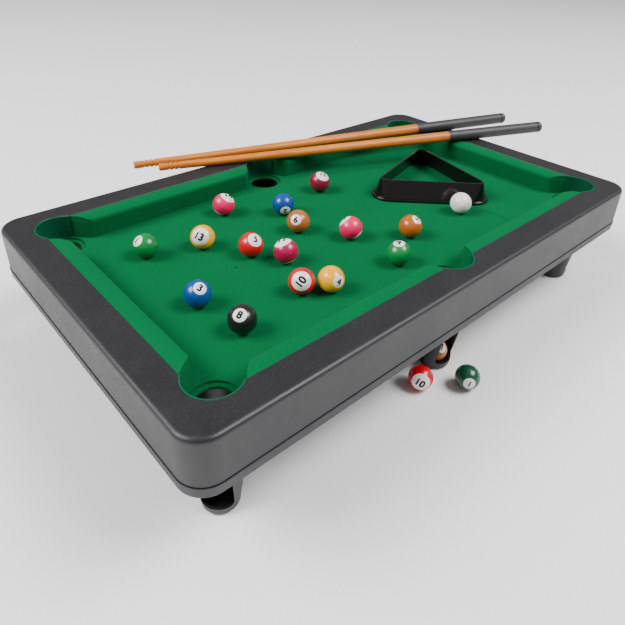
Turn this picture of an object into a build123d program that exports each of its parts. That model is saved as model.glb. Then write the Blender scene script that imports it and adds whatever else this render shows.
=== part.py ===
from build123d import *
import math
import os

# Mini pool table. Millimetres, +Z up, long axis along X.
# Origin: centre of the playing surface, on the flocked top of the bed.

# ---- overall size
TABLE_L = 508.0
TABLE_W = 305.0
CORNER_R = 19.0
RAIL_TOP = 20.0
SEAM_Z = -15.2
SEAM_GAP = 0.9
TRAY_BOTTOM = -24.2
FLOOR_Z = -86.0

# ---- balls, which the holes, cups and rack are made to fit
BALL_R = 10.25
REST_GAP = 0.25

# ---- top frame, one black moulding
APRON_WALL = 3.0
APRON_DRAFT = 0.5
DECK_T = 3.0
TOP_EDGE_R = 3.4
RIM_R = 0.5
RAIL_W = 24.5
SKIRT_T = 2.4

# ---- bed and cushions
BED_T = 4.0
BED_EDGE_GAP = 1.0
HOLE_CLEAR = 3.75
RECESS_LEDGE = 3.2
RECESS_DEPTH = 1.8
RECESS_EDGE_R = 0.8
CUSHION_W = 14.5
NOSE_DROP = 2.4
NOSE_R = 2.4
BACK_DROP = 0.5
FACE_UNDERCUT = 1.4
JAW_R = 9.0

# ---- pockets
MOUTH_CLEAR = 9.25
LINER_T = 1.3
LINER_DROP = 0.1
LINER_EDGE_R = 0.4
SIDE_POCKET_OUT = 6.0
CORNER_JAW_OUT = 6.0
SIDE_JAW_OUT = 5.5

# ---- cups under the pockets
CUP_BALL_GAP = 0.65
CUP_WALL = 1.7
CUP_FLARE = 8.4
CUP_FLOOR_T = 2.0
CUP_EDGE_R = 3.0
CUP_TOP_GAP = 0.2
CUP_STEP = 0.2
CUP_HOLE_CLEAR = 0.3
LIP_H = 7.0
WINDOW_EDGE_R = 4.0
WINDOW_TOP_GAP = 1.6
FLANGE_LEDGE = 3.4
FLANGE_T = 2.0

# ---- tray
TRAY_FLOOR_T = 2.5
TRAY_WALL = 2.6
TRAY_DRAFT = 0.6
TRAY_EDGE_R = 1.2
LIP_WALL = 2.0
LIP_RISE = 6.0
LIP_CLEAR = 0.3

# ---- screws that hold the tray to the frame
CORNER_SCREW_IN = 14.0
BOSS_R = 4.2
BOSS_END = -11.0
PILLAR_WALL = 3.3
PILLAR_GAP = 0.2
SCREW_R = 1.5
SCREW_BITE = 0.05
SHANK_CLEAR = 0.25
SCREW_HEAD_R = 2.9
SCREW_HEAD_H = 2.0
SCREW_HEAD_EDGE = 0.7
HEAD_CLEAR = 0.4
COUNTERBORE_H = 5.0
SCREW_L = 12.0
SCREW_POINT = 0.6
DRIVE_L = 4.0
DRIVE_W = 0.7
DRIVE_DEPTH = 1.0
BED_BOSS_CLEAR = 0.6

# ---- triangle rack
RACK_PLAY = 0.4
RACK_TOP_R = 6.0
RACK_FOOT_R = 15.5
RACK_FLARE = 7.0
RACK_WALL = 1.8
RACK_H = 19.7
RACK_FLANGE = 2.2
RACK_FLANGE_H = 2.6
RACK_FLANGE_EDGE = 0.9
RACK_TURN = 46.2
RACK_SHARE = (0.615, 0.020)
CUE_BALL_GAP = 6.5
CUE_BALL_SLIDE = 24.4

# ---- cues
CUE_L = 462.0
SLEEVE_L = 131.0
CUE_TIP_R = 3.7
CUE_JOINT_R = 5.9
SLEEVE_R = 6.4
SLEEVE_END_R = 2.6
SLEEVE_LEAD = 0.4
BUMPER_L = 6.0
BUMPER_GROOVE = 1.2
BUMPER_DEPTH = 0.7
SPIGOT_R = 4.4
SPIGOT_L = 60.0
KNOB_L = 9.0
RING_PITCH = 4.6
RING_GROOVE = 0.8
RING_DEPTH = 0.75
RING_COUNT = 3

# ---- derived sizes
HALF_L = TABLE_L / 2
HALF_W = TABLE_W / 2
RAIL_X = HALF_L - RAIL_W
RAIL_Y = HALF_W - RAIL_W
NOSE_X = RAIL_X - CUSHION_W
NOSE_Y = RAIL_Y - CUSHION_W
SIDE_Y = NOSE_Y + SIDE_POCKET_OUT
DECK_Z = RAIL_TOP - DECK_T
TRAY_TOP = SEAM_Z - SEAM_GAP
TRAY_FLOOR_Z = TRAY_BOTTOM + TRAY_FLOOR_T
HOLE_R = BALL_R + HOLE_CLEAR
RECESS_R = HOLE_R + RECESS_LEDGE
POCKET_R = BALL_R + MOUTH_CLEAR
LINER_TOP = RAIL_TOP - LINER_DROP
CORNER_JAW = POCKET_R + CORNER_JAW_OUT
SIDE_JAW = POCKET_R + SIDE_JAW_OUT
CORNER_BAY = math.sqrt(POCKET_R ** 2 - CUSHION_W ** 2)
SIDE_BAY = math.sqrt(POCKET_R ** 2 - (RAIL_Y - SIDE_Y) ** 2)
CUP_TOP = -BED_T - CUP_TOP_GAP
CUP_R_LOW = BALL_R + CUP_BALL_GAP + CUP_WALL
CUP_R_TOP = CUP_R_LOW + CUP_FLARE
WINDOW_W = 2 * (BALL_R + CUP_BALL_GAP)
COUNTERBORE_R = SCREW_HEAD_R + HEAD_CLEAR
PILLAR_R = SCREW_R + PILLAR_WALL
OFFSET_TO_SIDE = 2 * math.sqrt(3)
RACK_FIT_SIDE = 2 * BALL_R * (4 + math.sqrt(3)) + RACK_PLAY
RACK_FIT_OFFSET = RACK_FLARE * (1 - BALL_R / RACK_H) - RACK_WALL
RACK_SIDE = RACK_FIT_SIDE - OFFSET_TO_SIDE * RACK_FIT_OFFSET
RACK_FOOT_SIDE = RACK_SIDE + OFFSET_TO_SIDE * RACK_FLARE
FIELD_X = NOSE_X - BALL_R
FIELD_Y = NOSE_Y - BALL_R

POCKETS = {
    "near_left": (-NOSE_X, -NOSE_Y),
    "near_middle": (0.0, -SIDE_Y),
    "near_right": (NOSE_X, -NOSE_Y),
    "far_left": (-NOSE_X, NOSE_Y),
    "far_middle": (0.0, SIDE_Y),
    "far_right": (NOSE_X, NOSE_Y),
}

# screws: four corners, four halfway between the pockets of the long sides, two at the short sides
CHANNEL_X = (HALF_L - APRON_WALL + RAIL_X + SKIRT_T) / 2
CHANNEL_Y = (HALF_W - APRON_WALL + RAIL_Y + SKIRT_T) / 2
SCREW_SPOTS = [
    (side * x, end * y)
    for side in (-1, 1)
    for end in (-1, 1)
    for x, y in ((HALF_L - CORNER_SCREW_IN, HALF_W - CORNER_SCREW_IN), (NOSE_X / 2, CHANNEL_Y))
] + [(-CHANNEL_X, 0.0), (CHANNEL_X, 0.0)]

# balls on the bed, each placed as shares of the way from the centre to where it would touch a cushion
BED_BALL_SHARES = {
    "ball_green_1": (-0.8234, 0.5550),
    "ball_yellow_13": (-0.6115, 0.3952),
    "ball_pink_14": (-0.3751, 0.7884),
    "ball_blue_2": (-0.1597, 0.4610),
    "ball_brown_6": (-0.2149, 0.1201),
    "ball_red_5": (-0.4952, 0.0504),
    "ball_magenta_11": (-0.4176, -0.2024),
    "ball_maroon_15": (0.1407, 0.6218),
    "ball_pink_12": (-0.0786, -0.2518),
    "ball_orange_7": (0.1353, -0.5540),
    "ball_green_9": (-0.0767, -0.7893),
    "ball_red_10": (-0.5084, -0.6044),
    "ball_blue_3": (-0.8420, -0.2644),
    "ball_black_8": (-0.8063, -0.6954),
}
# the ball that nearly touches another, placed from it in ball radii
BESIDE_BALL = "ball_red_10"
BESIDE_OFFSET = (1.863, -1.151)
NEIGHBOUR_BALL = "ball_yellow_4"
CUE_BALL = "cue_ball_white"

# balls on the floor in front of the near middle pocket, placed from its centre
FLOOR_BALLS = {
    "ball_red_10_spare": (-35.2, -12.9),
    "ball_green_1_spare": (-5.6, -37.4),
}
CUP_BALL = "ball_brown_7_spare"

# cues: tip placed from the table's far right corner, and bearing of the butt in degrees
CUES = {
    "cue_back": ((-366.0, 35.3), -18.60),
    "cue_front": ((-349.4, 15.3), -22.32),
}


def rounded_block(length, width, radius, z_low, z_high):
    sketch = Plane.XY.offset(z_low) * RectangleRounded(length, width, radius)
    return extrude(sketch, z_high - z_low)


def disc(radius, x, y, z_low, z_high):
    return Pos(x, y, z_low) * extrude(Circle(radius), z_high - z_low)


def draft_angle(inset, height):
    return math.degrees(math.atan(inset / height))


def playfield_block(grow, z_low, z_high):
    """Rectangle between the rails, its corners cut where the corner pocket circles take over."""
    far_x = RAIL_X + grow
    far_y = RAIL_Y + grow
    cut_x = NOSE_X - CORNER_BAY
    cut_y = NOSE_Y - CORNER_BAY
    quarter = [(far_x, cut_y), (cut_x, far_y)]
    points = quarter + [(-x, y) for x, y in reversed(quarter)]
    points += [(-x, -y) for x, y in quarter] + [(x, -y) for x, y in reversed(quarter)]
    return Pos(0, 0, z_low) * extrude(make_face(Polyline(*points, close=True)), z_high - z_low)


def opening_block(grow, z_low, z_high):
    """Playfield opening with its six pocket bays, grown by a margin."""
    block = playfield_block(grow, z_low, z_high)
    for x, y in POCKETS.values():
        block += disc(POCKET_R + grow, x, y, z_low, z_high)
    return block


def make_top_frame():
    height = RAIL_TOP - SEAM_Z
    outline = Plane.XY.offset(RAIL_TOP) * RectangleRounded(TABLE_L, TABLE_W, CORNER_R)
    shell = extrude(outline, -height, taper=draft_angle(APRON_DRAFT, height))
    shell = fillet(shell.faces().sort_by(Axis.Z)[-1].edges(), TOP_EDGE_R)
    inner_l = TABLE_L - 2 * APRON_WALL
    inner_w = TABLE_W - 2 * APRON_WALL
    cavity = rounded_block(inner_l, inner_w, CORNER_R - APRON_WALL, SEAM_Z - 1, DECK_Z)
    cavity -= opening_block(SKIRT_T, 0.0, DECK_Z + 1)
    frame = shell - cavity
    frame -= opening_block(0.0, SEAM_Z - 1, RAIL_TOP + 1)
    rim = [
        e for e in frame.edges().group_by(Axis.Z)[-1]
        if abs(e.center().X) < HALF_L - TOP_EDGE_R - 1 and abs(e.center().Y) < HALF_W - TOP_EDGE_R - 1
    ]
    frame = fillet(rim, RIM_R)
    for x, y in SCREW_SPOTS:
        frame += disc(BOSS_R, x, y, BOSS_END, DECK_Z + DECK_T / 2)
        frame -= disc(SCREW_R + SCREW_BITE, x, y, BOSS_END - 1, BOSS_END + SCREW_L)
    return frame


def make_base_tray():
    height = TRAY_TOP - TRAY_BOTTOM
    outline = Plane.XY.offset(TRAY_TOP) * RectangleRounded(TABLE_L, TABLE_W, CORNER_R)
    shell = extrude(outline, -height, taper=draft_angle(TRAY_DRAFT, height))
    shell = fillet(shell.faces().sort_by(Axis.Z)[0].edges(), TRAY_EDGE_R)
    in_l = TABLE_L - 2 * TRAY_WALL
    in_w = TABLE_W - 2 * TRAY_WALL
    shell -= rounded_block(in_l, in_w, CORNER_R - TRAY_WALL, TRAY_FLOOR_Z, TRAY_TOP + 1)
    inset = APRON_WALL + LIP_CLEAR
    lip_l = TABLE_L - 2 * inset
    lip_w = TABLE_W - 2 * inset
    lip_r = CORNER_R - inset
    lip_top = TRAY_TOP + LIP_RISE
    lip = rounded_block(lip_l, lip_w, lip_r, TRAY_FLOOR_Z, lip_top)
    lip -= rounded_block(
        lip_l - 2 * LIP_WALL, lip_w - 2 * LIP_WALL, lip_r - LIP_WALL, TRAY_FLOOR_Z - 1, lip_top + 1
    )
    tray = shell + lip
    for x, y in POCKETS.values():
        tray -= disc(CUP_R_TOP + CUP_HOLE_CLEAR, x, y, TRAY_BOTTOM - 1, TRAY_FLOOR_Z + 1)
    for x, y in SCREW_SPOTS:
        tray += disc(PILLAR_R, x, y, TRAY_FLOOR_Z - TRAY_FLOOR_T / 2, BOSS_END - PILLAR_GAP)
        tray -= disc(SCREW_R + SHANK_CLEAR, x, y, TRAY_BOTTOM - 1, BOSS_END + 1)
        tray -= disc(COUNTERBORE_R, x, y, TRAY_BOTTOM - 1, TRAY_BOTTOM + COUNTERBORE_H)
    return tray


def make_screw(x, y):
    head_top = TRAY_BOTTOM + COUNTERBORE_H
    head_low = head_top - SCREW_HEAD_H
    head = disc(SCREW_HEAD_R, 0, 0, head_low, head_top)
    head = fillet(head.faces().sort_by(Axis.Z)[0].edges(), SCREW_HEAD_EDGE)
    shank = disc(SCREW_R, 0, 0, head_top, head_top + SCREW_L)
    shank = chamfer(shank.faces().sort_by(Axis.Z)[-1].edges(), SCREW_POINT)
    drive = Pos(0, 0, head_low) * Box(DRIVE_L, DRIVE_W, 2 * DRIVE_DEPTH)
    drive += Pos(0, 0, head_low) * Box(DRIVE_W, DRIVE_L, 2 * DRIVE_DEPTH)
    return Pos(x, y, 0) * (head + shank - drive)


def make_bed():
    inset = APRON_WALL + BED_EDGE_GAP
    bed = rounded_block(TABLE_L - 2 * inset, TABLE_W - 2 * inset, CORNER_R - inset, -BED_T, 0.0)
    for x, y in POCKETS.values():
        dish = disc(HOLE_R, x, y, -BED_T - 1, 1) + disc(RECESS_R, x, y, -RECESS_DEPTH, 1)
        bed -= dish
    ledge_rims = [
        e for e in bed.edges().filter_by(GeomType.CIRCLE)
        if abs(e.radius - HOLE_R) < 0.01 and abs(e.center().Z + RECESS_DEPTH) < 0.01
    ]
    bed = fillet(ledge_rims, RECESS_EDGE_R)
    for x, y in SCREW_SPOTS:
        bed -= disc(BOSS_R + BED_BOSS_CLEAR, x, y, -BED_T - 1, 1)
    return bed


def cushion_section(length):
    """Cushion section, rail edge at y = 0 and rounded nose towards +y, run along +X from x = 0."""
    nose_z = RAIL_TOP - NOSE_DROP
    points = [
        (0, 0),
        (CUSHION_W - FACE_UNDERCUT, 0),
        (CUSHION_W, nose_z),
        (CUSHION_W / 2, RAIL_TOP),
        (0, RAIL_TOP - BACK_DROP),
    ]
    face = make_face(Polyline(*points, close=True))
    nose = face.vertices().sort_by(Axis.X)[-1]
    crown = face.vertices().sort_by(Axis.Y)[-1]
    face = fillet(nose, NOSE_R)
    face = fillet(face.vertices().sort_by_distance((crown.X, crown.Y, 0))[0], CUSHION_W)
    return extrude(Plane.YZ * face, length)


def pocket_cutter(x, y):
    return disc(POCKET_R, x, y, -1, RAIL_TOP + 1)


def cushion_plan(corners, jaw_ids):
    """Plan outline of a cushion with its two jaw corners rounded, as a tall block."""
    outline = make_face(Polyline(*corners, close=True))
    jaws = [outline.vertices().sort_by_distance((*corners[i], 0))[0] for i in jaw_ids]
    return extrude(fillet(jaws, JAW_R), RAIL_TOP + 1)


def trim_cushion(bar, corners, jaw_ids, pockets):
    bar = bar & cushion_plan(corners, jaw_ids)
    for name in pockets:
        bar -= pocket_cutter(*POCKETS[name])
    return bar.solids().sort_by(SortBy.VOLUME)[-1]


def make_long_cushion():
    """Cushion of the near left quarter, in place; the other three are mirrors of it."""
    corners = [
        (-NOSE_X + CORNER_BAY, -RAIL_Y),
        (-SIDE_BAY, -RAIL_Y),
        (-SIDE_JAW, -NOSE_Y),
        (-NOSE_X + CORNER_JAW, -NOSE_Y),
    ]
    bar = Pos(-HALF_L, -RAIL_Y, 0) * cushion_section(HALF_L)
    return trim_cushion(bar, corners, (2, 3), ("near_left", "near_middle"))


def make_end_cushion():
    """Cushion on the left short side, in place; the right one mirrors it."""
    corners = [
        (-RAIL_X, NOSE_Y - CORNER_BAY),
        (-RAIL_X, -NOSE_Y + CORNER_BAY),
        (-NOSE_X, -NOSE_Y + CORNER_JAW),
        (-NOSE_X, NOSE_Y - CORNER_JAW),
    ]
    bar = Pos(-RAIL_X, HALF_W, 0) * (Rot(0, 0, -90) * cushion_section(TABLE_W))
    return trim_cushion(bar, corners, (2, 3), ("near_left", "far_left"))


def make_liner(x, y):
    """Green wall that lines the back of one pocket, from the bed to the rail top."""
    ring = disc(POCKET_R, x, y, 0.0, LINER_TOP)
    ring -= disc(POCKET_R - LINER_T, x, y, -1, LINER_TOP + 1)
    wall = (ring - playfield_block(0.0, -1, LINER_TOP + 1)).solids().sort_by(SortBy.VOLUME)[-1]
    rim = wall.faces().sort_by(Axis.Z)[-1].edges().filter_by(GeomType.CIRCLE)
    return fillet(rim, LINER_EDGE_R)


def cup_form(inset, floor_z, top_z):
    """Cup shape: a cone with a rounded foot below the tray, and a short straight neck above it."""
    cone = loft([
        Plane.XY.offset(floor_z) * Circle(CUP_R_LOW - inset),
        Plane.XY.offset(TRAY_BOTTOM) * Circle(CUP_R_TOP - CUP_STEP - inset),
    ])
    cone = fillet(cone.faces().sort_by(Axis.Z)[0].edges(), CUP_EDGE_R)
    return cone + disc(CUP_R_TOP - inset, 0, 0, TRAY_BOTTOM - CUP_STEP, top_z)


def make_cup(x, y):
    """Ball cup under one pocket, open towards the outside of the table."""
    cup = cup_form(0.0, FLOOR_Z, CUP_TOP)
    cup += disc(CUP_R_TOP + FLANGE_LEDGE, 0, 0, TRAY_FLOOR_Z, TRAY_FLOOR_Z + FLANGE_T)
    cup -= cup_form(CUP_WALL, FLOOR_Z + CUP_FLOOR_T, CUP_TOP + 1)
    low = FLOOR_Z + LIP_H
    high = TRAY_BOTTOM - WINDOW_TOP_GAP
    window = Pos(0, (low + high) / 2) * RectangleRounded(WINDOW_W, high - low, WINDOW_EDGE_R)
    cup -= extrude(Plane.YZ * window, CUP_R_TOP + 1)
    side = 0 if x == 0 else math.copysign(1, x)
    outward = math.degrees(math.atan2(math.copysign(1, y), side))
    return Pos(x, y, 0) * (Rot(0, 0, outward) * cup)


def make_ball(x, y, z):
    return Pos(x, y, z) * Sphere(BALL_R)


def triangle_block(side, radius, z):
    """Face of a triangle with rounded corners, one corner along +X."""
    reach = side / math.sqrt(3)
    points = [
        (reach * math.cos(math.radians(a)), reach * math.sin(math.radians(a)))
        for a in (0, 120, 240)
    ]
    face = make_face(Polyline(*points, close=True))
    return Plane.XY.offset(z) * fillet(face.vertices(), radius)


def rack_form(inset):
    shrink = OFFSET_TO_SIDE * inset
    return loft([
        triangle_block(RACK_FOOT_SIDE - shrink, RACK_FOOT_R - inset, 0),
        triangle_block(RACK_SIDE - shrink, RACK_TOP_R - inset, RACK_H),
    ])


def rack_centre():
    return (RACK_SHARE[0] * FIELD_X, RACK_SHARE[1] * FIELD_Y)


def make_rack():
    flange_side = RACK_FOOT_SIDE + OFFSET_TO_SIDE * RACK_FLANGE
    flange = extrude(triangle_block(flange_side, RACK_FOOT_R + RACK_FLANGE, 0), RACK_FLANGE_H)
    flange = fillet(flange.faces().sort_by(Axis.Z)[-1].edges(), RACK_FLANGE_EDGE)
    rack = rack_form(0.0) + flange - rack_form(RACK_WALL)
    x, y = rack_centre()
    return Pos(x, y, REST_GAP) * (Rot(0, 0, RACK_TURN) * rack)


def bed_ball_places():
    """Centres in plan of the balls on the bed."""
    places = {name: (x * FIELD_X, y * FIELD_Y) for name, (x, y) in BED_BALL_SHARES.items()}
    x, y = places[BESIDE_BALL]
    places[NEIGHBOUR_BALL] = (x + BESIDE_OFFSET[0] * BALL_R, y + BESIDE_OFFSET[1] * BALL_R)
    facing = math.radians(RACK_TURN + 180)
    out = RACK_FOOT_SIDE / OFFSET_TO_SIDE + RACK_FLANGE + CUE_BALL_GAP + BALL_R
    x, y = rack_centre()
    places[CUE_BALL] = (
        x + out * math.cos(facing) - CUE_BALL_SLIDE * math.sin(facing),
        y + out * math.sin(facing) + CUE_BALL_SLIDE * math.cos(facing),
    )
    return places


def shaft_radius(s):
    share = min(max(s / (CUE_L - SLEEVE_L), 0.0), 1.0)
    return CUE_TIP_R + (CUE_JOINT_R - CUE_TIP_R) * share


def cue_frame(corner_offset, bearing):
    """Plane at the tip with its Z axis along the cue, which lies across the far and right rails."""
    tip_x = HALF_L + corner_offset[0]
    tip_y = HALF_W + corner_offset[1]
    step_x = math.cos(math.radians(bearing))
    step_y = math.sin(math.radians(bearing))
    far_run = (HALF_W - RAIL_W / 2 - tip_y) / step_y
    right_run = (HALF_L - RAIL_W / 2 - tip_x) / step_x
    far_z = RAIL_TOP + REST_GAP + shaft_radius(far_run)
    right_z = RAIL_TOP + REST_GAP + SLEEVE_R
    slope = (right_z - far_z) / (right_run - far_run)
    return Plane(
        origin=(tip_x, tip_y, far_z - slope * far_run),
        z_dir=(step_x, step_y, slope),
    )


def make_cue_shaft():
    """Turned wooden shaft along +Z from the tip, with ring grooves behind the tip knob."""
    tip_flat = CUE_TIP_R - RING_DEPTH
    profile = [(0, 0), (tip_flat, 0), (CUE_TIP_R, RING_GROOVE), (CUE_TIP_R, KNOB_L)]
    for i in range(RING_COUNT):
        s = KNOB_L + RING_PITCH * i
        radius = shaft_radius(s)
        profile.append((radius - RING_DEPTH, s + RING_GROOVE))
        profile.append((radius - RING_DEPTH, s + 2 * RING_GROOVE))
        profile.append((radius, s + 3 * RING_GROOVE))
        profile.append((radius, s + RING_PITCH))
    joint = CUE_L - SLEEVE_L
    profile += [
        (CUE_JOINT_R, joint),
        (SPIGOT_R, joint),
        (SPIGOT_R, joint + SPIGOT_L),
        (0, joint + SPIGOT_L),
    ]
    return revolve(make_face(Plane.XZ * Polyline(*profile, close=True)), Axis.Z)


def make_cue_sleeve():
    """Black butt sleeve with a bumper ring at its rounded end, pushed over the shaft's spigot."""
    start = CUE_L - SLEEVE_L
    sleeve = disc(SLEEVE_R, 0, 0, start, CUE_L)
    sleeve = fillet(sleeve.faces().sort_by(Axis.Z)[-1].edges(), SLEEVE_END_R)
    sleeve = chamfer(sleeve.faces().sort_by(Axis.Z)[0].edges(), SLEEVE_LEAD)
    groove_z = CUE_L - BUMPER_L
    groove = disc(SLEEVE_R + 1, 0, 0, groove_z - BUMPER_GROOVE, groove_z)
    groove -= disc(SLEEVE_R - BUMPER_DEPTH, 0, 0, groove_z - BUMPER_GROOVE - 1, groove_z + 1)
    return sleeve - groove - disc(SPIGOT_R, 0, 0, start - 1, start + SPIGOT_L)


def save(name, shape):
    export_step(shape, "parts/" + name + ".step")


def save_cushions():
    quarter = make_long_cushion()
    end = make_end_cushion()
    save("cushion_near_left", quarter)
    save("cushion_near_right", mirror(quarter, Plane.YZ))
    save("cushion_far_left", mirror(quarter, Plane.XZ))
    save("cushion_far_right", mirror(mirror(quarter, Plane.XZ), Plane.YZ))
    save("cushion_end_left", end)
    save("cushion_end_right", mirror(end, Plane.YZ))


def main():
    os.makedirs("parts", exist_ok=True)
    save("top_frame", make_top_frame())
    save("base_tray", make_base_tray())
    save("playing_bed", make_bed())
    save_cushions()
    for name, (x, y) in POCKETS.items():
        save("pocket_liner_" + name, make_liner(x, y))
        save("pocket_cup_" + name, make_cup(x, y))
    save("tray_screws", Compound([make_screw(x, y) for x, y in SCREW_SPOTS]))
    save("ball_rack", make_rack())
    for name, (corner_offset, bearing) in CUES.items():
        place = cue_frame(corner_offset, bearing)
        save(name + "_shaft", place * make_cue_shaft())
        save(name + "_butt_sleeve", place * make_cue_sleeve())
    for name, (x, y) in bed_ball_places().items():
        save(name, make_ball(x, y, BALL_R + REST_GAP))
    mouth_x, mouth_y = POCKETS["near_middle"]
    for name, (dx, dy) in FLOOR_BALLS.items():
        save(name, make_ball(mouth_x + dx, mouth_y + dy, FLOOR_Z + BALL_R + REST_GAP))
    save(CUP_BALL, make_ball(mouth_x, mouth_y, FLOOR_Z + CUP_FLOOR_T + BALL_R + REST_GAP))


main()
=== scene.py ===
import math

import bmesh
import bpy
from mathutils import Matrix, Vector


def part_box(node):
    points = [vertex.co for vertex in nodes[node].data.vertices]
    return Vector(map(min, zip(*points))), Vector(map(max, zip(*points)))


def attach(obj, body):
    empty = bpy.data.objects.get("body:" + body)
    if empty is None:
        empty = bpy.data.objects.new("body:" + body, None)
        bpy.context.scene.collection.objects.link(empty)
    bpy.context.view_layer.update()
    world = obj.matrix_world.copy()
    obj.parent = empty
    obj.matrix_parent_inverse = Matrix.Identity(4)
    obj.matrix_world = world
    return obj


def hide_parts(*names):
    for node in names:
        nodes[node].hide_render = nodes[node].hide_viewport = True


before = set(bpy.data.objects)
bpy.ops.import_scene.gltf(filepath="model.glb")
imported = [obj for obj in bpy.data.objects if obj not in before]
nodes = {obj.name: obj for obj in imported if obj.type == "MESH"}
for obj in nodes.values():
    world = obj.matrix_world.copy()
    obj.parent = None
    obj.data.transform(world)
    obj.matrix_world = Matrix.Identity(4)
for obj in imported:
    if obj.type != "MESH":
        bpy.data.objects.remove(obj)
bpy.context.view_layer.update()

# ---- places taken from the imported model, in metres
FLOOR_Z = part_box("pocket_cup_near_left")[0].z
RAIL_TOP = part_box("top_frame")[1].z
BED_LOW, BED_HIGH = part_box("playing_bed")
BALL_R = (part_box("cue_ball_white")[1].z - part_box("cue_ball_white")[0].z) / 2
MILLI = 0.001

# ---- camera: where it stands, in metres, and which way it looks
CAMERA_PLACE = (-0.34616, -0.33715, 0.25534)
CAMERA_RIGHT = (0.74290, -0.66866, 0.03141)
CAMERA_FORWARD = (0.60258, 0.64756, -0.46644)
CAMERA_LENS = 33.75
CAMERA_SHIFT = (-0.0076, -0.1474)

# ---- studio: each soft light's place, width, height and power
LEFT_KEY = ((-1.99, 0.99, 2.01), 1.8, 1.3, 125)
RIGHT_KEY = ((1.14, -1.45, 2.36), 1.6, 1.3, 115)
FLOOR_HALF = 6.0
FLOOR_GREY = 0.96
SKY_STRENGTH = 0.32

# ---- marks on the flock and the painted highlight on the cushion nose, in metres
HEAD_LINE_SHARE = 0.25
BED_SIDE_GAP = 8 * MILLI
FOOT_SPOT_SHIFT = (5 * MILLI, -2 * MILLI)
# how far below the rail top the painted highlight on the cushion nose runs
NOSE_BELOW_RAIL = 4.2 * MILLI

# ---- ball caps: half angle of the white cap, in degrees, and the rings of each ball's mesh
SMALL_CAP = 28.0
WIDE_CAP = 45.0
CAP_RINGS = 9
BODY_RINGS = 22
BALL_SEGMENTS = 64

# ---- printed digits: heights as shares of the ball radius, added weight as a share of the height
DIGIT_HEIGHT = 0.70
WIDE_DIGIT_HEIGHT = 0.82
DIGIT_WEIGHT = 0.045
DIGIT_PROUD = 0.06 * MILLI
DIGIT_EDGE = 0.45 * MILLI


# ------------------------------------------------------------------ camera, floor and light

def add_camera():
    data = bpy.data.cameras.new("camera")
    data.sensor_width = 36.0
    data.lens = CAMERA_LENS
    data.shift_x, data.shift_y = CAMERA_SHIFT
    data.clip_start = 0.02
    camera = bpy.data.objects.new("camera", data)
    bpy.context.scene.collection.objects.link(camera)
    right = Vector(CAMERA_RIGHT).normalized()
    forward = Vector(CAMERA_FORWARD).normalized()
    up = right.cross(forward).normalized()
    right = forward.cross(up).normalized()
    turn = Matrix((right, up, -forward)).transposed().to_4x4()
    camera.matrix_world = Matrix.Translation(Vector(CAMERA_PLACE)) @ turn
    bpy.context.scene.camera = camera


def add_floor():
    half = FLOOR_HALF
    mesh = bpy.data.meshes.new("floor")
    corners = [(-half, -half, 0), (half, -half, 0), (half, half, 0), (-half, half, 0)]
    mesh.from_pydata(corners, [], [(0, 1, 2, 3)])
    floor = bpy.data.objects.new("floor", mesh)
    floor.location.z = FLOOR_Z
    bpy.context.scene.collection.objects.link(floor)
    paint = bpy.data.materials.new("floor_paper")
    paint.use_nodes = True
    shader = paint.node_tree.nodes["Principled BSDF"]
    shader.inputs["Base Color"].default_value = (FLOOR_GREY, FLOOR_GREY, FLOOR_GREY, 1)
    shader.inputs["Roughness"].default_value = 0.9
    mesh.materials.append(paint)


def add_softbox(name, place, width, height, power):
    """Rectangular soft light that faces the middle of the table."""
    data = bpy.data.lights.new(name, "AREA")
    data.shape = "RECTANGLE"
    data.size = width
    data.size_y = height
    data.energy = power
    lamp = bpy.data.objects.new(name, data)
    place = Vector(place)
    lamp.location = place
    lamp.rotation_euler = (-place).to_track_quat("-Z", "Y").to_euler()
    bpy.context.scene.collection.objects.link(lamp)


def add_lights():
    world = bpy.data.worlds.new("studio")
    world.use_nodes = True
    world.node_tree.nodes["Background"].inputs["Color"].default_value = (1.0, 1.0, 1.0, 1)
    world.node_tree.nodes["Background"].inputs["Strength"].default_value = SKY_STRENGTH
    bpy.context.scene.world = world
    add_softbox("left_key", *LEFT_KEY)
    add_softbox("right_key", *RIGHT_KEY)


# ------------------------------------------------------------------ shader helpers

def new_group(name, inputs, outputs):
    """Empty shader node group with the named sockets; returns the group and its two end nodes."""
    group = bpy.data.node_groups.new(name, "ShaderNodeTree")
    for label, kind, value in inputs:
        socket = group.interface.new_socket(name=label, in_out="INPUT", socket_type=kind)
        socket.default_value = value
    for label, kind in outputs:
        group.interface.new_socket(name=label, in_out="OUTPUT", socket_type=kind)
    start = group.nodes.new("NodeGroupInput")
    end = group.nodes.new("NodeGroupOutput")
    return group, start, end


def add(tree, kind, **values):
    """New node; a value sets an attribute, or an input when no attribute has that name."""
    made = tree.nodes.new(kind)
    for label, value in values.items():
        if hasattr(made, label):
            setattr(made, label, value)
        else:
            made.inputs[label.replace("_", " ")].default_value = value
    return made


def wire(tree, source, target):
    tree.links.new(source, target)


def maths(tree, operation, first, second=None):
    made = tree.nodes.new("ShaderNodeMath")
    made.operation = operation
    for slot, value in enumerate((first, second)):
        if value is None:
            continue
        if isinstance(value, (int, float)):
            made.inputs[slot].default_value = value
        else:
            tree.links.new(value, made.inputs[slot])
    return made.outputs[0]


def blend_colours(tree, share, first, second):
    made = tree.nodes.new("ShaderNodeMix")
    made.data_type = "RGBA"
    for socket, value in ((made.inputs[0], share), (made.inputs[6], first), (made.inputs[7], second)):
        if isinstance(value, (int, float)):
            socket.default_value = value
        elif isinstance(value, tuple):
            socket.default_value = value if len(value) == 4 else (*value, 1.0)
        else:
            tree.links.new(value, socket)
    return made.outputs[2]


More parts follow.
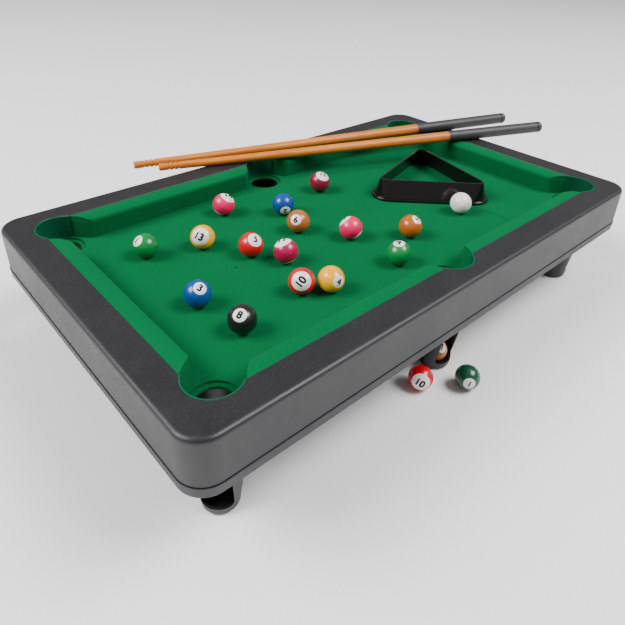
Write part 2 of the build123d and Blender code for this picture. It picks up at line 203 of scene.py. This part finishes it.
def remap(tree, value, low, high, out_low=0.0, out_high=1.0):
    made = tree.nodes.new("ShaderNodeMapRange")
    made.clamp = True
    tree.links.new(value, made.inputs["Value"])
    for label, number in (("From Min", low), ("From Max", high), ("To Min", out_low), ("To Max", out_high)):
        made.inputs[label].default_value = number
    return made.outputs["Result"]


def object_place(tree):
    return tree.nodes.new("ShaderNodeTexCoord").outputs["Object"]


def make_moulded_grain():
    """Fine pebbled grain of moulded plastic: Height for the bump, Speck for slight dull specks."""
    group, start, end = new_group(
        "moulded_grain",
        [("Place", "NodeSocketVector", (0, 0, 0)), ("Grain Size", "NodeSocketFloat", 0.6)],
        [("Height", "NodeSocketFloat"), ("Speck", "NodeSocketFloat")],
    )
    scale = maths(group, "DIVIDE", 1000.0, start.outputs["Grain Size"])
    cells = add(group, "ShaderNodeTexVoronoi", feature="SMOOTH_F1")
    wire(group, start.outputs["Place"], cells.inputs["Vector"])
    wire(group, scale, cells.inputs["Scale"])
    pores = add(group, "ShaderNodeTexNoise", Detail=3.0)
    wire(group, start.outputs["Place"], pores.inputs["Vector"])
    wire(group, maths(group, "MULTIPLY", scale, 0.45), pores.inputs["Scale"])
    height = maths(group, "ADD", cells.outputs["Distance"], maths(group, "MULTIPLY", pores.outputs[0], 0.8))
    wire(group, height, end.inputs["Height"])
    wire(group, remap(group, pores.outputs[0], 0.52, 0.72), end.inputs["Speck"])
    return group


def make_soft_mottle():
    """Slow uneven tone: the colour drifts between a darker and a lighter version of itself."""
    group, start, end = new_group(
        "soft_mottle",
        [
            ("Place", "NodeSocketVector", (0, 0, 0)),
            ("Color", "NodeSocketColor", (0.5, 0.5, 0.5, 1)),
            ("Patch Size", "NodeSocketFloat", 40.0),
            ("Amount", "NodeSocketFloat", 0.15),
        ],
        [("Color", "NodeSocketColor"), ("Mask", "NodeSocketFloat")],
    )
    patches = add(group, "ShaderNodeTexNoise", Detail=4.0, Roughness=0.6)
    wire(group, start.outputs["Place"], patches.inputs["Vector"])
    wire(group, maths(group, "DIVIDE", 1000.0, start.outputs["Patch Size"]), patches.inputs["Scale"])
    tone = remap(group, patches.outputs[0], 0.3, 0.7)
    low = maths(group, "SUBTRACT", 1.0, start.outputs["Amount"])
    span = maths(group, "MULTIPLY", start.outputs["Amount"], 2.0)
    gain = maths(group, "ADD", low, maths(group, "MULTIPLY", tone, span))
    scaled = add(group, "ShaderNodeVectorMath", operation="SCALE")
    wire(group, start.outputs["Color"], scaled.inputs[0])
    wire(group, gain, scaled.inputs["Scale"])
    wire(group, scaled.outputs[0], end.inputs["Color"])
    wire(group, tone, end.inputs["Mask"])
    return group


def make_hair_scratches():
    """Hairline scratches and handling marks: Height for the bump, Mask to dull the gloss."""
    group, start, end = new_group(
        "hair_scratches",
        [("Place", "NodeSocketVector", (0, 0, 0)), ("Spacing", "NodeSocketFloat", 3.0)],
        [("Height", "NodeSocketFloat"), ("Mask", "NodeSocketFloat")],
    )
    scale = maths(group, "DIVIDE", 1000.0, start.outputs["Spacing"])
    marks = None
    for turn, stretch in ((0.4, 9.0), (1.9, 7.0)):
        mapped = add(group, "ShaderNodeMapping")
        mapped.inputs["Rotation"].default_value = (turn, turn * 0.7, turn)
        mapped.inputs["Scale"].default_value = (1.0, stretch, stretch)
        wire(group, start.outputs["Place"], mapped.inputs["Vector"])
        lines = add(group, "ShaderNodeTexNoise", Detail=1.0)
        wire(group, mapped.outputs[0], lines.inputs["Vector"])
        wire(group, scale, lines.inputs["Scale"])
        line = remap(group, lines.outputs[0], 0.66, 0.70)
        marks = line if marks is None else maths(group, "MAXIMUM", marks, line)
    wire(group, marks, end.inputs["Height"])
    wire(group, marks, end.inputs["Mask"])
    return group


def make_flock_pile():
    """Short upright fibres: Height for the bump, Tip for the lighter fibre ends, Nap for slow streaks."""
    group, start, end = new_group(
        "flock_pile",
        [("Place", "NodeSocketVector", (0, 0, 0)), ("Fibre", "NodeSocketFloat", 0.35)],
        [("Height", "NodeSocketFloat"), ("Tip", "NodeSocketFloat"), ("Nap", "NodeSocketFloat")],
    )
    scale = maths(group, "DIVIDE", 1000.0, start.outputs["Fibre"])
    fibres = add(group, "ShaderNodeTexNoise", Detail=2.0, Roughness=0.7)
    wire(group, start.outputs["Place"], fibres.inputs["Vector"])
    wire(group, scale, fibres.inputs["Scale"])
    tufts = add(group, "ShaderNodeTexNoise", Detail=3.0, Roughness=0.6)
    wire(group, start.outputs["Place"], tufts.inputs["Vector"])
    wire(group, maths(group, "MULTIPLY", scale, 0.16), tufts.inputs["Scale"])
    mapped = add(group, "ShaderNodeMapping")
    mapped.inputs["Scale"].default_value = (0.25, 1.0, 1.0)
    wire(group, start.outputs["Place"], mapped.inputs["Vector"])
    streaks = add(group, "ShaderNodeTexNoise", Detail=3.0)
    wire(group, mapped.outputs[0], streaks.inputs["Vector"])
    wire(group, maths(group, "MULTIPLY", scale, 0.012), streaks.inputs["Scale"])
    both = maths(group, "ADD", fibres.outputs[0], maths(group, "MULTIPLY", tufts.outputs[0], 0.8))
    wire(group, both, end.inputs["Height"])
    wire(group, remap(group, both, 0.75, 1.1), end.inputs["Tip"])
    wire(group, remap(group, streaks.outputs[0], 0.35, 0.65), end.inputs["Nap"])
    return group


GRAIN = make_moulded_grain()
MOTTLE = make_soft_mottle()
SCRATCHES = make_hair_scratches()
PILE = make_flock_pile()


def use(tree, group, place, **values):
    made = tree.nodes.new("ShaderNodeGroup")
    made.node_tree = group
    wire(tree, place, made.inputs["Place"])
    for label, value in values.items():
        socket = made.inputs[label.replace("_", " ")]
        if isinstance(value, (int, float)):
            socket.default_value = value
        elif isinstance(value, tuple):
            socket.default_value = (*value, 1.0)
        else:
            wire(tree, value, socket)
    return made


def start_material(name, **sockets):
    material = bpy.data.materials.new(name)
    material.use_nodes = True
    tree = material.node_tree
    shader = tree.nodes["Principled BSDF"]
    for label, value in sockets.items():
        shader.inputs[label.replace("_", " ")].default_value = value
    return material, tree, shader, object_place(tree)


def bump_from(tree, shader, height, depth, strength=1.0):
    bump = add(tree, "ShaderNodeBump", Strength=strength, Distance=depth * MILLI)
    wire(tree, height, bump.inputs["Height"])
    wire(tree, bump.outputs[0], shader.inputs["Normal"])


# ------------------------------------------------------------------ finishes

def grained_plastic(name, colour, roughness, grain_size, depth, side_roughness):
    """Black moulded plastic: fine pebbled grain where it faces up, smoother satin on its sides."""
    material, tree, shader, place = start_material(name, Specular_IOR_Level=0.5)
    grain = use(tree, GRAIN, place, Grain_Size=grain_size)
    mottle = use(tree, MOTTLE, place, Color=colour, Patch_Size=35.0, Amount=0.12)
    scratches = use(tree, SCRATCHES, place, Spacing=14.0)
    parts = add(tree, "ShaderNodeSeparateXYZ")
    wire(tree, tree.nodes.new("ShaderNodeTexCoord").outputs["Normal"], parts.inputs[0])
    upward = remap(tree, parts.outputs["Z"], 0.80, 0.97)
    speck = maths(tree, "MULTIPLY", grain.outputs["Speck"], maths(tree, "MULTIPLY", upward, 0.45))
    lighter = tuple(min(1.0, c * 2.6) for c in colour)
    wire(tree, blend_colours(tree, speck, mottle.outputs["Color"], lighter), shader.inputs["Base Color"])
    sheen = remap(tree, upward, 0, 1, side_roughness, roughness)
    uneven = maths(tree, "ADD", remap(tree, mottle.outputs["Mask"], 0, 1, -0.04, 0.05),
                   maths(tree, "MULTIPLY", scratches.outputs["Mask"], 0.04))
    wire(tree, maths(tree, "ADD", sheen, uneven), shader.inputs["Roughness"])
    relief = maths(tree, "MULTIPLY", grain.outputs["Height"], remap(tree, upward, 0, 1, 0.12, 1.0))
    bump_from(tree, shader, relief, depth)
    return material


def flock(name, colour, tip_colour, depth=0.12):
    """Green flocked surface; returns the material with its tree, shader, place and colour output."""
    material, tree, shader, place = start_material(
        name, Roughness=0.95, Specular_IOR_Level=0.1, Sheen_Weight=0.08, Sheen_Roughness=0.5,
    )
    shader.inputs["Sheen Tint"].default_value = (0.1, 0.8, 0.35, 1)
    pile = use(tree, PILE, place, Fibre=0.35)
    mottle = use(tree, MOTTLE, place, Color=colour, Patch_Size=55.0, Amount=0.07)
    tips = maths(tree, "MULTIPLY", pile.outputs["Tip"], 0.45)
    tone = blend_colours(tree, tips, mottle.outputs["Color"], tip_colour)
    nap = blend_colours(tree, maths(tree, "MULTIPLY", pile.outputs["Nap"], 0.16), tone, tip_colour)
    bump_from(tree, shader, pile.outputs["Height"], depth, 0.8)
    return material, tree, shader, place, nap


def bed_flock():
    """Flocked bed with its thin head line and the small spot at the other end."""
    material, tree, shader, place, colour = flock("bed_flock", (0.000, 0.090, 0.026), (0.000, 0.130, 0.040))
    parts = add(tree, "ShaderNodeSeparateXYZ")
    wire(tree, place, parts.inputs[0])
    line_x = (BED_HIGH.x - BED_LOW.x + BED_SIDE_GAP) * HEAD_LINE_SHARE
    off_line = maths(tree, "ABSOLUTE", maths(tree, "SUBTRACT", parts.outputs["X"], line_x))
    line = remap(tree, off_line, 0.35 * MILLI, 0.65 * MILLI, 1.0, 0.0)
    spot_place = add(tree, "ShaderNodeVectorMath", operation="DISTANCE")
    wire(tree, place, spot_place.inputs[0])
    spot_place.inputs[1].default_value = (-line_x + FOOT_SPOT_SHIFT[0], FOOT_SPOT_SHIFT[1], 0)
    spot = remap(tree, spot_place.outputs["Value"], 1.2 * MILLI, 1.9 * MILLI, 1.0, 0.0)
    ink = maths(tree, "MULTIPLY", maths(tree, "MAXIMUM", line, spot), 0.75)
    wire(tree, blend_colours(tree, ink, colour, (0.002, 0.03, 0.012)), shader.inputs["Base Color"])
    return material


def cushion_flock():
    """Flocked cushion; a lighter band along its nose edge is a painted highlight."""
    green, tip_green = (0.000, 0.098, 0.028), (0.000, 0.145, 0.046)
    material, tree, shader, place, colour = flock("cushion_flock", green, tip_green)
    parts = add(tree, "ShaderNodeSeparateXYZ")
    wire(tree, place, parts.inputs[0])
    nose_z = RAIL_TOP - NOSE_BELOW_RAIL
    off_nose = maths(tree, "ABSOLUTE", maths(tree, "SUBTRACT", parts.outputs["Z"], nose_z))
    # painted highlight: a lighter green band along the cushion nose
    wear_and_painted_highlight = maths(tree, "MULTIPLY", remap(tree, off_nose, 0.2 * MILLI, 1.3 * MILLI, 1.0, 0.0), 0.45)
    wire(tree, blend_colours(tree, wear_and_painted_highlight, colour, (0.004, 0.190, 0.065)), shader.inputs["Base Color"])
    return material


def liner_flock():
    """Flocked pocket wall with a thin paler rim at the rail top, a painted highlight."""
    material, tree, shader, place, colour = flock("liner_flock", (0.000, 0.060, 0.026), (0.003, 0.100, 0.045))
    parts = add(tree, "ShaderNodeSeparateXYZ")
    wire(tree, place, parts.inputs[0])
    # painted highlight: the top edge of the pocket wall is made lighter
    rim_highlight = remap(tree, parts.outputs["Z"], RAIL_TOP - 0.8 * MILLI, RAIL_TOP - 0.4 * MILLI, 0.0, 0.5)
    wire(tree, blend_colours(tree, rim_highlight, colour, (0.010, 0.095, 0.050)), shader.inputs["Base Color"])
    return material


def gloss_plastic(name, colour, roughness, coat=0.3, scratch_spacing=6.0):
    """Smooth black plastic with faint sink ripples and hairline scratches."""
    material, tree, shader, place = start_material(
        name, Coat_Weight=coat, Coat_Roughness=0.12, Specular_IOR_Level=0.5,
    )
    mottle = use(tree, MOTTLE, place, Color=colour, Patch_Size=30.0, Amount=0.10)
    scratches = use(tree, SCRATCHES, place, Spacing=scratch_spacing)
    wire(tree, mottle.outputs["Color"], shader.inputs["Base Color"])
    rough = maths(tree, "ADD", remap(tree, mottle.outputs["Mask"], 0, 1, roughness - 0.02, roughness + 0.03),
                  maths(tree, "MULTIPLY", scratches.outputs["Mask"], 0.08))
    wire(tree, rough, shader.inputs["Roughness"])
    ripple = maths(tree, "MULTIPLY", mottle.outputs["Mask"], 0.5)
    height = maths(tree, "ADD", ripple, scratches.outputs["Height"])
    bump_from(tree, shader, height, 0.003)
    return material


def cue_wood(name, shaft):
    """Lacquered pale hardwood; the grain runs along the cue and the wood turns redder towards the butt end.
    """
    material, tree, shader, place = start_material(
        name, Coat_Weight=0.12, Coat_Roughness=0.25, Specular_IOR_Level=0.35,
    )
    low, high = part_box(shaft)
    tip = Vector((low.x, high.y, 0))
    butt = Vector((high.x, low.y, 0))
    along = (butt - tip)
    turned = add(tree, "ShaderNodeMapping", vector_type="TEXTURE")
    turned.inputs["Location"].default_value = (tip.x, tip.y, RAIL_TOP)
    turned.inputs["Rotation"].default_value = (0, 0, math.atan2(along.y, along.x))
    wire(tree, place, turned.inputs["Vector"])
    squeezed = add(tree, "ShaderNodeMapping")
    squeezed.inputs["Scale"].default_value = (0.06, 1.0, 1.0)
    wire(tree, turned.outputs[0], squeezed.inputs["Vector"])
    fibre = add(tree, "ShaderNodeTexNoise", Scale=900.0, Detail=4.0, Roughness=0.65)
    wire(tree, squeezed.outputs[0], fibre.inputs["Vector"])
    bands = add(tree, "ShaderNodeTexNoise", Scale=230.0, Detail=3.0, Distortion=0.8)
    wire(tree, squeezed.outputs[0], bands.inputs["Vector"])
    pale = (0.70, 0.230, 0.022)
    deep = (0.50, 0.140, 0.010)
    base = blend_colours(tree, remap(tree, bands.outputs[0], 0.35, 0.65), pale, deep)
    streak = maths(tree, "MULTIPLY", remap(tree, fibre.outputs[0], 0.5, 0.72), 0.45)
    grained = blend_colours(tree, streak, base, (0.32, 0.080, 0.008))
    parts = add(tree, "ShaderNodeSeparateXYZ")
    wire(tree, turned.outputs[0], parts.inputs[0])
    length = along.length
    # the wood is blended towards a redder colour near the butt end
    redder_butt_band = remap(tree, parts.outputs["X"], length * 0.80, length * 0.845, 0.0, 0.55)
    wire(tree, blend_colours(tree, redder_butt_band, grained, (0.50, 0.090, 0.008)), shader.inputs["Base Color"])
    wire(tree, remap(tree, fibre.outputs[0], 0.3, 0.7, 0.40, 0.52), shader.inputs["Roughness"])
    bump_from(tree, shader, fibre.outputs[0], 0.03)
    return material


def screw_steel():
    """Zinc-plated screw heads, dulled along their scratches."""
    material, tree, shader, place = start_material("screw_steel", Metallic=1.0)
    scratches = use(tree, SCRATCHES, place, Spacing=1.5)
    mottle = use(tree, MOTTLE, place, Color=(0.55, 0.55, 0.53), Patch_Size=3.0, Amount=0.15)
    wire(tree, mottle.outputs["Color"], shader.inputs["Base Color"])
    wire(tree, remap(tree, scratches.outputs["Mask"], 0, 1, 0.32, 0.55), shader.inputs["Roughness"])
    return material


def ball_resin(name, colour):
    """Cast and polished ball resin with a faint cloud in the colour and light handling marks."""
    material, tree, shader, place = start_material(
        name, Coat_Weight=0.25, Coat_Roughness=0.14, Specular_IOR_Level=0.5,
    )
    mottle = use(tree, MOTTLE, place, Color=colour, Patch_Size=7.0, Amount=0.10)
    scratches = use(tree, SCRATCHES, place, Spacing=2.2)
    wire(tree, mottle.outputs["Color"], shader.inputs["Base Color"])
    rough = maths(tree, "ADD", remap(tree, mottle.outputs["Mask"], 0, 1, 0.22, 0.30),
                  maths(tree, "MULTIPLY", scratches.outputs["Mask"], 0.12))
    wire(tree, rough, shader.inputs["Roughness"])
    bump_from(tree, shader, scratches.outputs["Height"], 0.004)
    return material


def printed_ink():
    """Flat black ink of the numbers, a little thin in places."""
    material, tree, shader, place = start_material("number_ink", Roughness=0.6, Specular_IOR_Level=0.08)
    mottle = use(tree, MOTTLE, place, Color=(0.008, 0.008, 0.010), Patch_Size=1.5, Amount=0.35)
    scratches = use(tree, SCRATCHES, place, Spacing=1.2)
    thin = maths(tree, "MULTIPLY", scratches.outputs["Mask"], 0.25)
    wear_and_painted_highlight = blend_colours(tree, thin, mottle.outputs["Color"], (0.06, 0.06, 0.06))
    wire(tree, wear_and_painted_highlight, shader.inputs["Base Color"])
    return material


# ------------------------------------------------------------------ balls

BALL_COLOURS = {
    "green": (0.000, 0.200, 0.040),
    # painted shade: a darker copy of the green for the green 1 ball lying on the floor
    "shaded_green": (0.002, 0.075, 0.030),
    "yellow": (0.930, 0.430, 0.000),
    "pink": (0.800, 0.000, 0.100),
    "blue": (0.000, 0.060, 0.270),
    "brown": (0.430, 0.120, 0.025),
    "red": (0.620, 0.000, 0.012),
    "magenta": (0.400, 0.000, 0.060),
    "maroon": (0.240, 0.004, 0.030),
    "orange": (0.450, 0.110, 0.010),
    "black": (0.010, 0.010, 0.011),
    "white": (0.840, 0.820, 0.780),
}

# node: number, cap half angle, and where the number faces: bearing, height and twist, in degrees
NUMBERED_BALLS = {
    "ball_green_1": ("1", SMALL_CAP, -179, 46, -10),
    "ball_yellow_13": ("13", WIDE_CAP, -137, 32, -22),
    "ball_pink_14": ("14", WIDE_CAP, -30, 60, -80),
    "ball_blue_2": ("2", SMALL_CAP, -116, -17, -175),
    "ball_brown_6": ("6", SMALL_CAP, -146, 34, -5),
    "ball_red_5": ("5", 36.0, -87, 51, -35),
    "ball_magenta_11": ("11", WIDE_CAP, 114, 68, 110),
    "ball_maroon_15": ("15", 42.0, -80, 66, -55),
    "ball_pink_12": ("12", 40.0, 114, 44, 110),
    "ball_orange_7": ("7", SMALL_CAP, -68, 58, -75),
    "ball_green_9": ("9", SMALL_CAP, 157, 84, 71),
    "ball_red_10": ("10", WIDE_CAP, -134, 34, 55),
    "ball_yellow_4": ("4", SMALL_CAP, -96, 17, -34),
    "ball_blue_3": ("3", SMALL_CAP, -96, 56, -50),
    "ball_black_8": ("8", SMALL_CAP, -140, 54, -18),
    "ball_red_10_spare": ("10", WIDE_CAP, -142, 13, -24),
    "ball_green_1_spare": ("1", SMALL_CAP, -137, 9, -18),
    "ball_brown_7_spare": ("7", SMALL_CAP, -100, 45, -20),
}


def facing(bearing, height):
    a = math.radians(bearing)
    h = math.radians(height)
    return Vector((math.cos(a) * math.cos(h), math.sin(a) * math.cos(h), math.sin(h)))


def cap_axes(direction, twist):
    """Right and up directions of a number seen from outside the ball."""
    up = (Vector((0, 0, 1)) - direction * direction.z).normalized()
    right = up.cross(direction).normalized()
    turn = Matrix.Rotation(math.radians(twist), 3, direction)
    return turn @ right, turn @ up


def ball_mesh(name, centre, direction, cap):
    """Round ball in rings about the number's axis, so that each white cap has a crisp edge."""
    right, up = cap_axes(direction, 0)
    cap_angle = math.radians(cap)
    steps = [cap_angle * i / CAP_RINGS for i in range(1, CAP_RINGS + 1)]
    between = math.pi - 2 * cap_angle
    steps += [cap_angle + between * i / BODY_RINGS for i in range(1, BODY_RINGS)]
    steps += [math.pi - a for a in reversed(steps[:CAP_RINGS])]
    mesh = bmesh.new()
    top = mesh.verts.new(centre + direction * BALL_R)
    rings = []
    for angle in steps:
        ring = []
        for k in range(BALL_SEGMENTS):
            around = 2 * math.pi * k / BALL_SEGMENTS
            side = right * math.cos(around) + up * math.sin(around)
            spot = direction * math.cos(angle) + side * math.sin(angle)
            ring.append(mesh.verts.new(centre + spot * BALL_R))
        rings.append(ring)
    bottom = mesh.verts.new(centre - direction * BALL_R)
    for k in range(BALL_SEGMENTS):
        nxt = (k + 1) % BALL_SEGMENTS
        mesh.faces.new((top, rings[0][k], rings[0][nxt])).material_index = 1
        mesh.faces.new((bottom, rings[-1][nxt], rings[-1][k])).material_index = 1
    for i in range(len(rings) - 1):
        white = i < CAP_RINGS - 1 or i >= len(rings) - CAP_RINGS
        for k in range(BALL_SEGMENTS):
            nxt = (k + 1) % BALL_SEGMENTS
            quad = (rings[i][k], rings[i + 1][k], rings[i + 1][nxt], rings[i][nxt])
            mesh.faces.new(quad).material_index = 1 if white else 0
    for face in mesh.faces:
        face.smooth = True
    data = bpy.data.meshes.new(name)
    mesh.to_mesh(data)
    mesh.free()
    return data


def thicken(work, amount):
    """Make a flat digit bolder by moving its outline outwards."""
    pushes = {}
    for edge in work.edges:
        if not edge.is_boundary:
            continue
        first, second = edge.verts
        along = (second.co - first.co).normalized()
        outward = Vector((along.y, -along.x, 0))
        if outward.dot(edge.link_faces[0].calc_center_median() - first.co) > 0:
            outward.negate()
        for vert in edge.verts:
            pushes[vert] = pushes.get(vert, Vector()) + outward
    for vert, push in pushes.items():
        if push.length > 1e-6:
            vert.co += push.normalized() * amount


def number_mesh(name, text, centre, direction, twist, height):
    """Printed digits wrapped onto the ball, a hair proud of its surface."""
    curve = bpy.data.curves.new(name, "FONT")
    curve.body = text
    curve.size = height
    curve.align_x = "CENTER"
    curve.align_y = "CENTER"
    stand_in = bpy.data.objects.new(name + "_text", curve)
    bpy.context.scene.collection.objects.link(stand_in)
    bpy.context.view_layer.update()
    flat = bpy.data.meshes.new_from_object(stand_in)
    bpy.data.objects.remove(stand_in)
    work = bmesh.new()
    work.from_mesh(flat)
    bmesh.ops.remove_doubles(work, verts=work.verts, dist=height * 0.0005)
    bmesh.ops.triangulate(work, faces=work.faces)
    thicken(work, height * DIGIT_WEIGHT)
    for _ in range(6):
        long_edges = [e for e in work.edges if e.calc_length() > DIGIT_EDGE]
        if not long_edges:
            break
        bmesh.ops.subdivide_edges(work, edges=long_edges, cuts=1)
        bmesh.ops.triangulate(work, faces=work.faces)
    middle_x = (max(v.co.x for v in work.verts) + min(v.co.x for v in work.verts)) / 2
    middle_y = (max(v.co.y for v in work.verts) + min(v.co.y for v in work.verts)) / 2
    right, up = cap_axes(direction, twist)
    for vert in work.verts:
        x = vert.co.x - middle_x
        y = vert.co.y - middle_y
        reach = math.hypot(x, y)
        angle = reach / BALL_R
        side = (right * x + up * y) / reach if reach > 1e-9 else right
        spot = direction * math.cos(angle) + side * math.sin(angle)
        vert.co = centre + spot * (BALL_R + DIGIT_PROUD)
    bmesh.ops.recalc_face_normals(work, faces=work.faces)
    for face in work.faces:
        face.smooth = True
        if face.normal.dot(face.calc_center_median() - centre) < 0:
            face.normal_flip()
    data = bpy.data.meshes.new(name)
    work.to_mesh(data)
    work.free()
    return data


def add_piece(name, data, materials, body):
    piece = bpy.data.objects.new(name, data)
    for material in materials:
        data.materials.append(material)
    bpy.context.scene.collection.objects.link(piece)
    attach(piece, body)
    return piece


def colour_word(node):
    return next(word for word in BALL_COLOURS if word in node)


def make_balls():
    resins = {word: ball_resin("resin_" + word, colour) for word, colour in BALL_COLOURS.items()}
    ink = printed_ink()
    for node, (text, cap, bearing, height, twist) in NUMBERED_BALLS.items():
        low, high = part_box(node)
        centre = (low + high) / 2
        direction = facing(bearing, height)
        word = colour_word(node)
        # the green 1 ball on the floor takes the darker green, painted shade
        resin = resins["shaded_green" if node == "ball_green_1_spare" else word]
        body = node + "_body"
        ball = add_piece(
            node + "_polished", ball_mesh(node, centre, direction, cap),
            [resin, resins["white"]], body,
        )
        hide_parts(node)
        digit_height = BALL_R * (WIDE_DIGIT_HEIGHT if cap == WIDE_CAP else DIGIT_HEIGHT)
        for side, end in ((1, "front"), (-1, "back")):
            data = number_mesh(node + "_" + end, text, centre, direction * side, twist, digit_height)
            add_piece(node + "_number_" + end, data, [ink], body)
    cue_low, cue_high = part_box("cue_ball_white")
    cue_ball = add_piece(
        "cue_ball_polished", ball_mesh("cue_ball", (cue_low + cue_high) / 2, facing(-120, 40), SMALL_CAP),
        [resins["white"], resins["white"]], "cue_ball_white_body",
    )
    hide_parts("cue_ball_white")


# ------------------------------------------------------------------ finishes on the CAD pieces

def dress(node, material):
    for slot in nodes[node].material_slots:
        slot.material = material


def dress_table():
    frame_black = grained_plastic("frame_black", (0.0125, 0.0120, 0.0145), 0.50, 0.7, 0.06, 0.43)
    tray_black = grained_plastic("tray_black", (0.014, 0.0135, 0.016), 0.52, 0.8, 0.03, 0.46)
    cup_black = grained_plastic("cup_black", (0.007, 0.007, 0.007), 0.40, 1.0, 0.015, 0.36)
    dress("top_frame", frame_black)
    dress("base_tray", tray_black)
    dress("playing_bed", bed_flock())
    green = cushion_flock()
    wall = liner_flock()
    for node in nodes:
        if node.startswith("cushion_"):
            dress(node, green)
        elif node.startswith("pocket_liner_"):
            dress(node, wall)
        elif node.startswith("pocket_cup_"):
            dress(node, cup_black)
    dress("tray_screws", screw_steel())


def dress_loose_pieces():
    dress("ball_rack", gloss_plastic("rack_black", (0.006, 0.005, 0.005), 0.13, 0.0))
    sleeve = gloss_plastic("sleeve_black", (0.030, 0.028, 0.031), 0.50, 0.0)
    for cue in ("cue_back", "cue_front"):
        dress(cue + "_shaft", cue_wood(cue + "_wood", cue + "_shaft"))
        dress(cue + "_butt_sleeve", sleeve)


add_camera()
add_floor()
add_lights()
dress_table()
dress_loose_pieces()
make_balls()
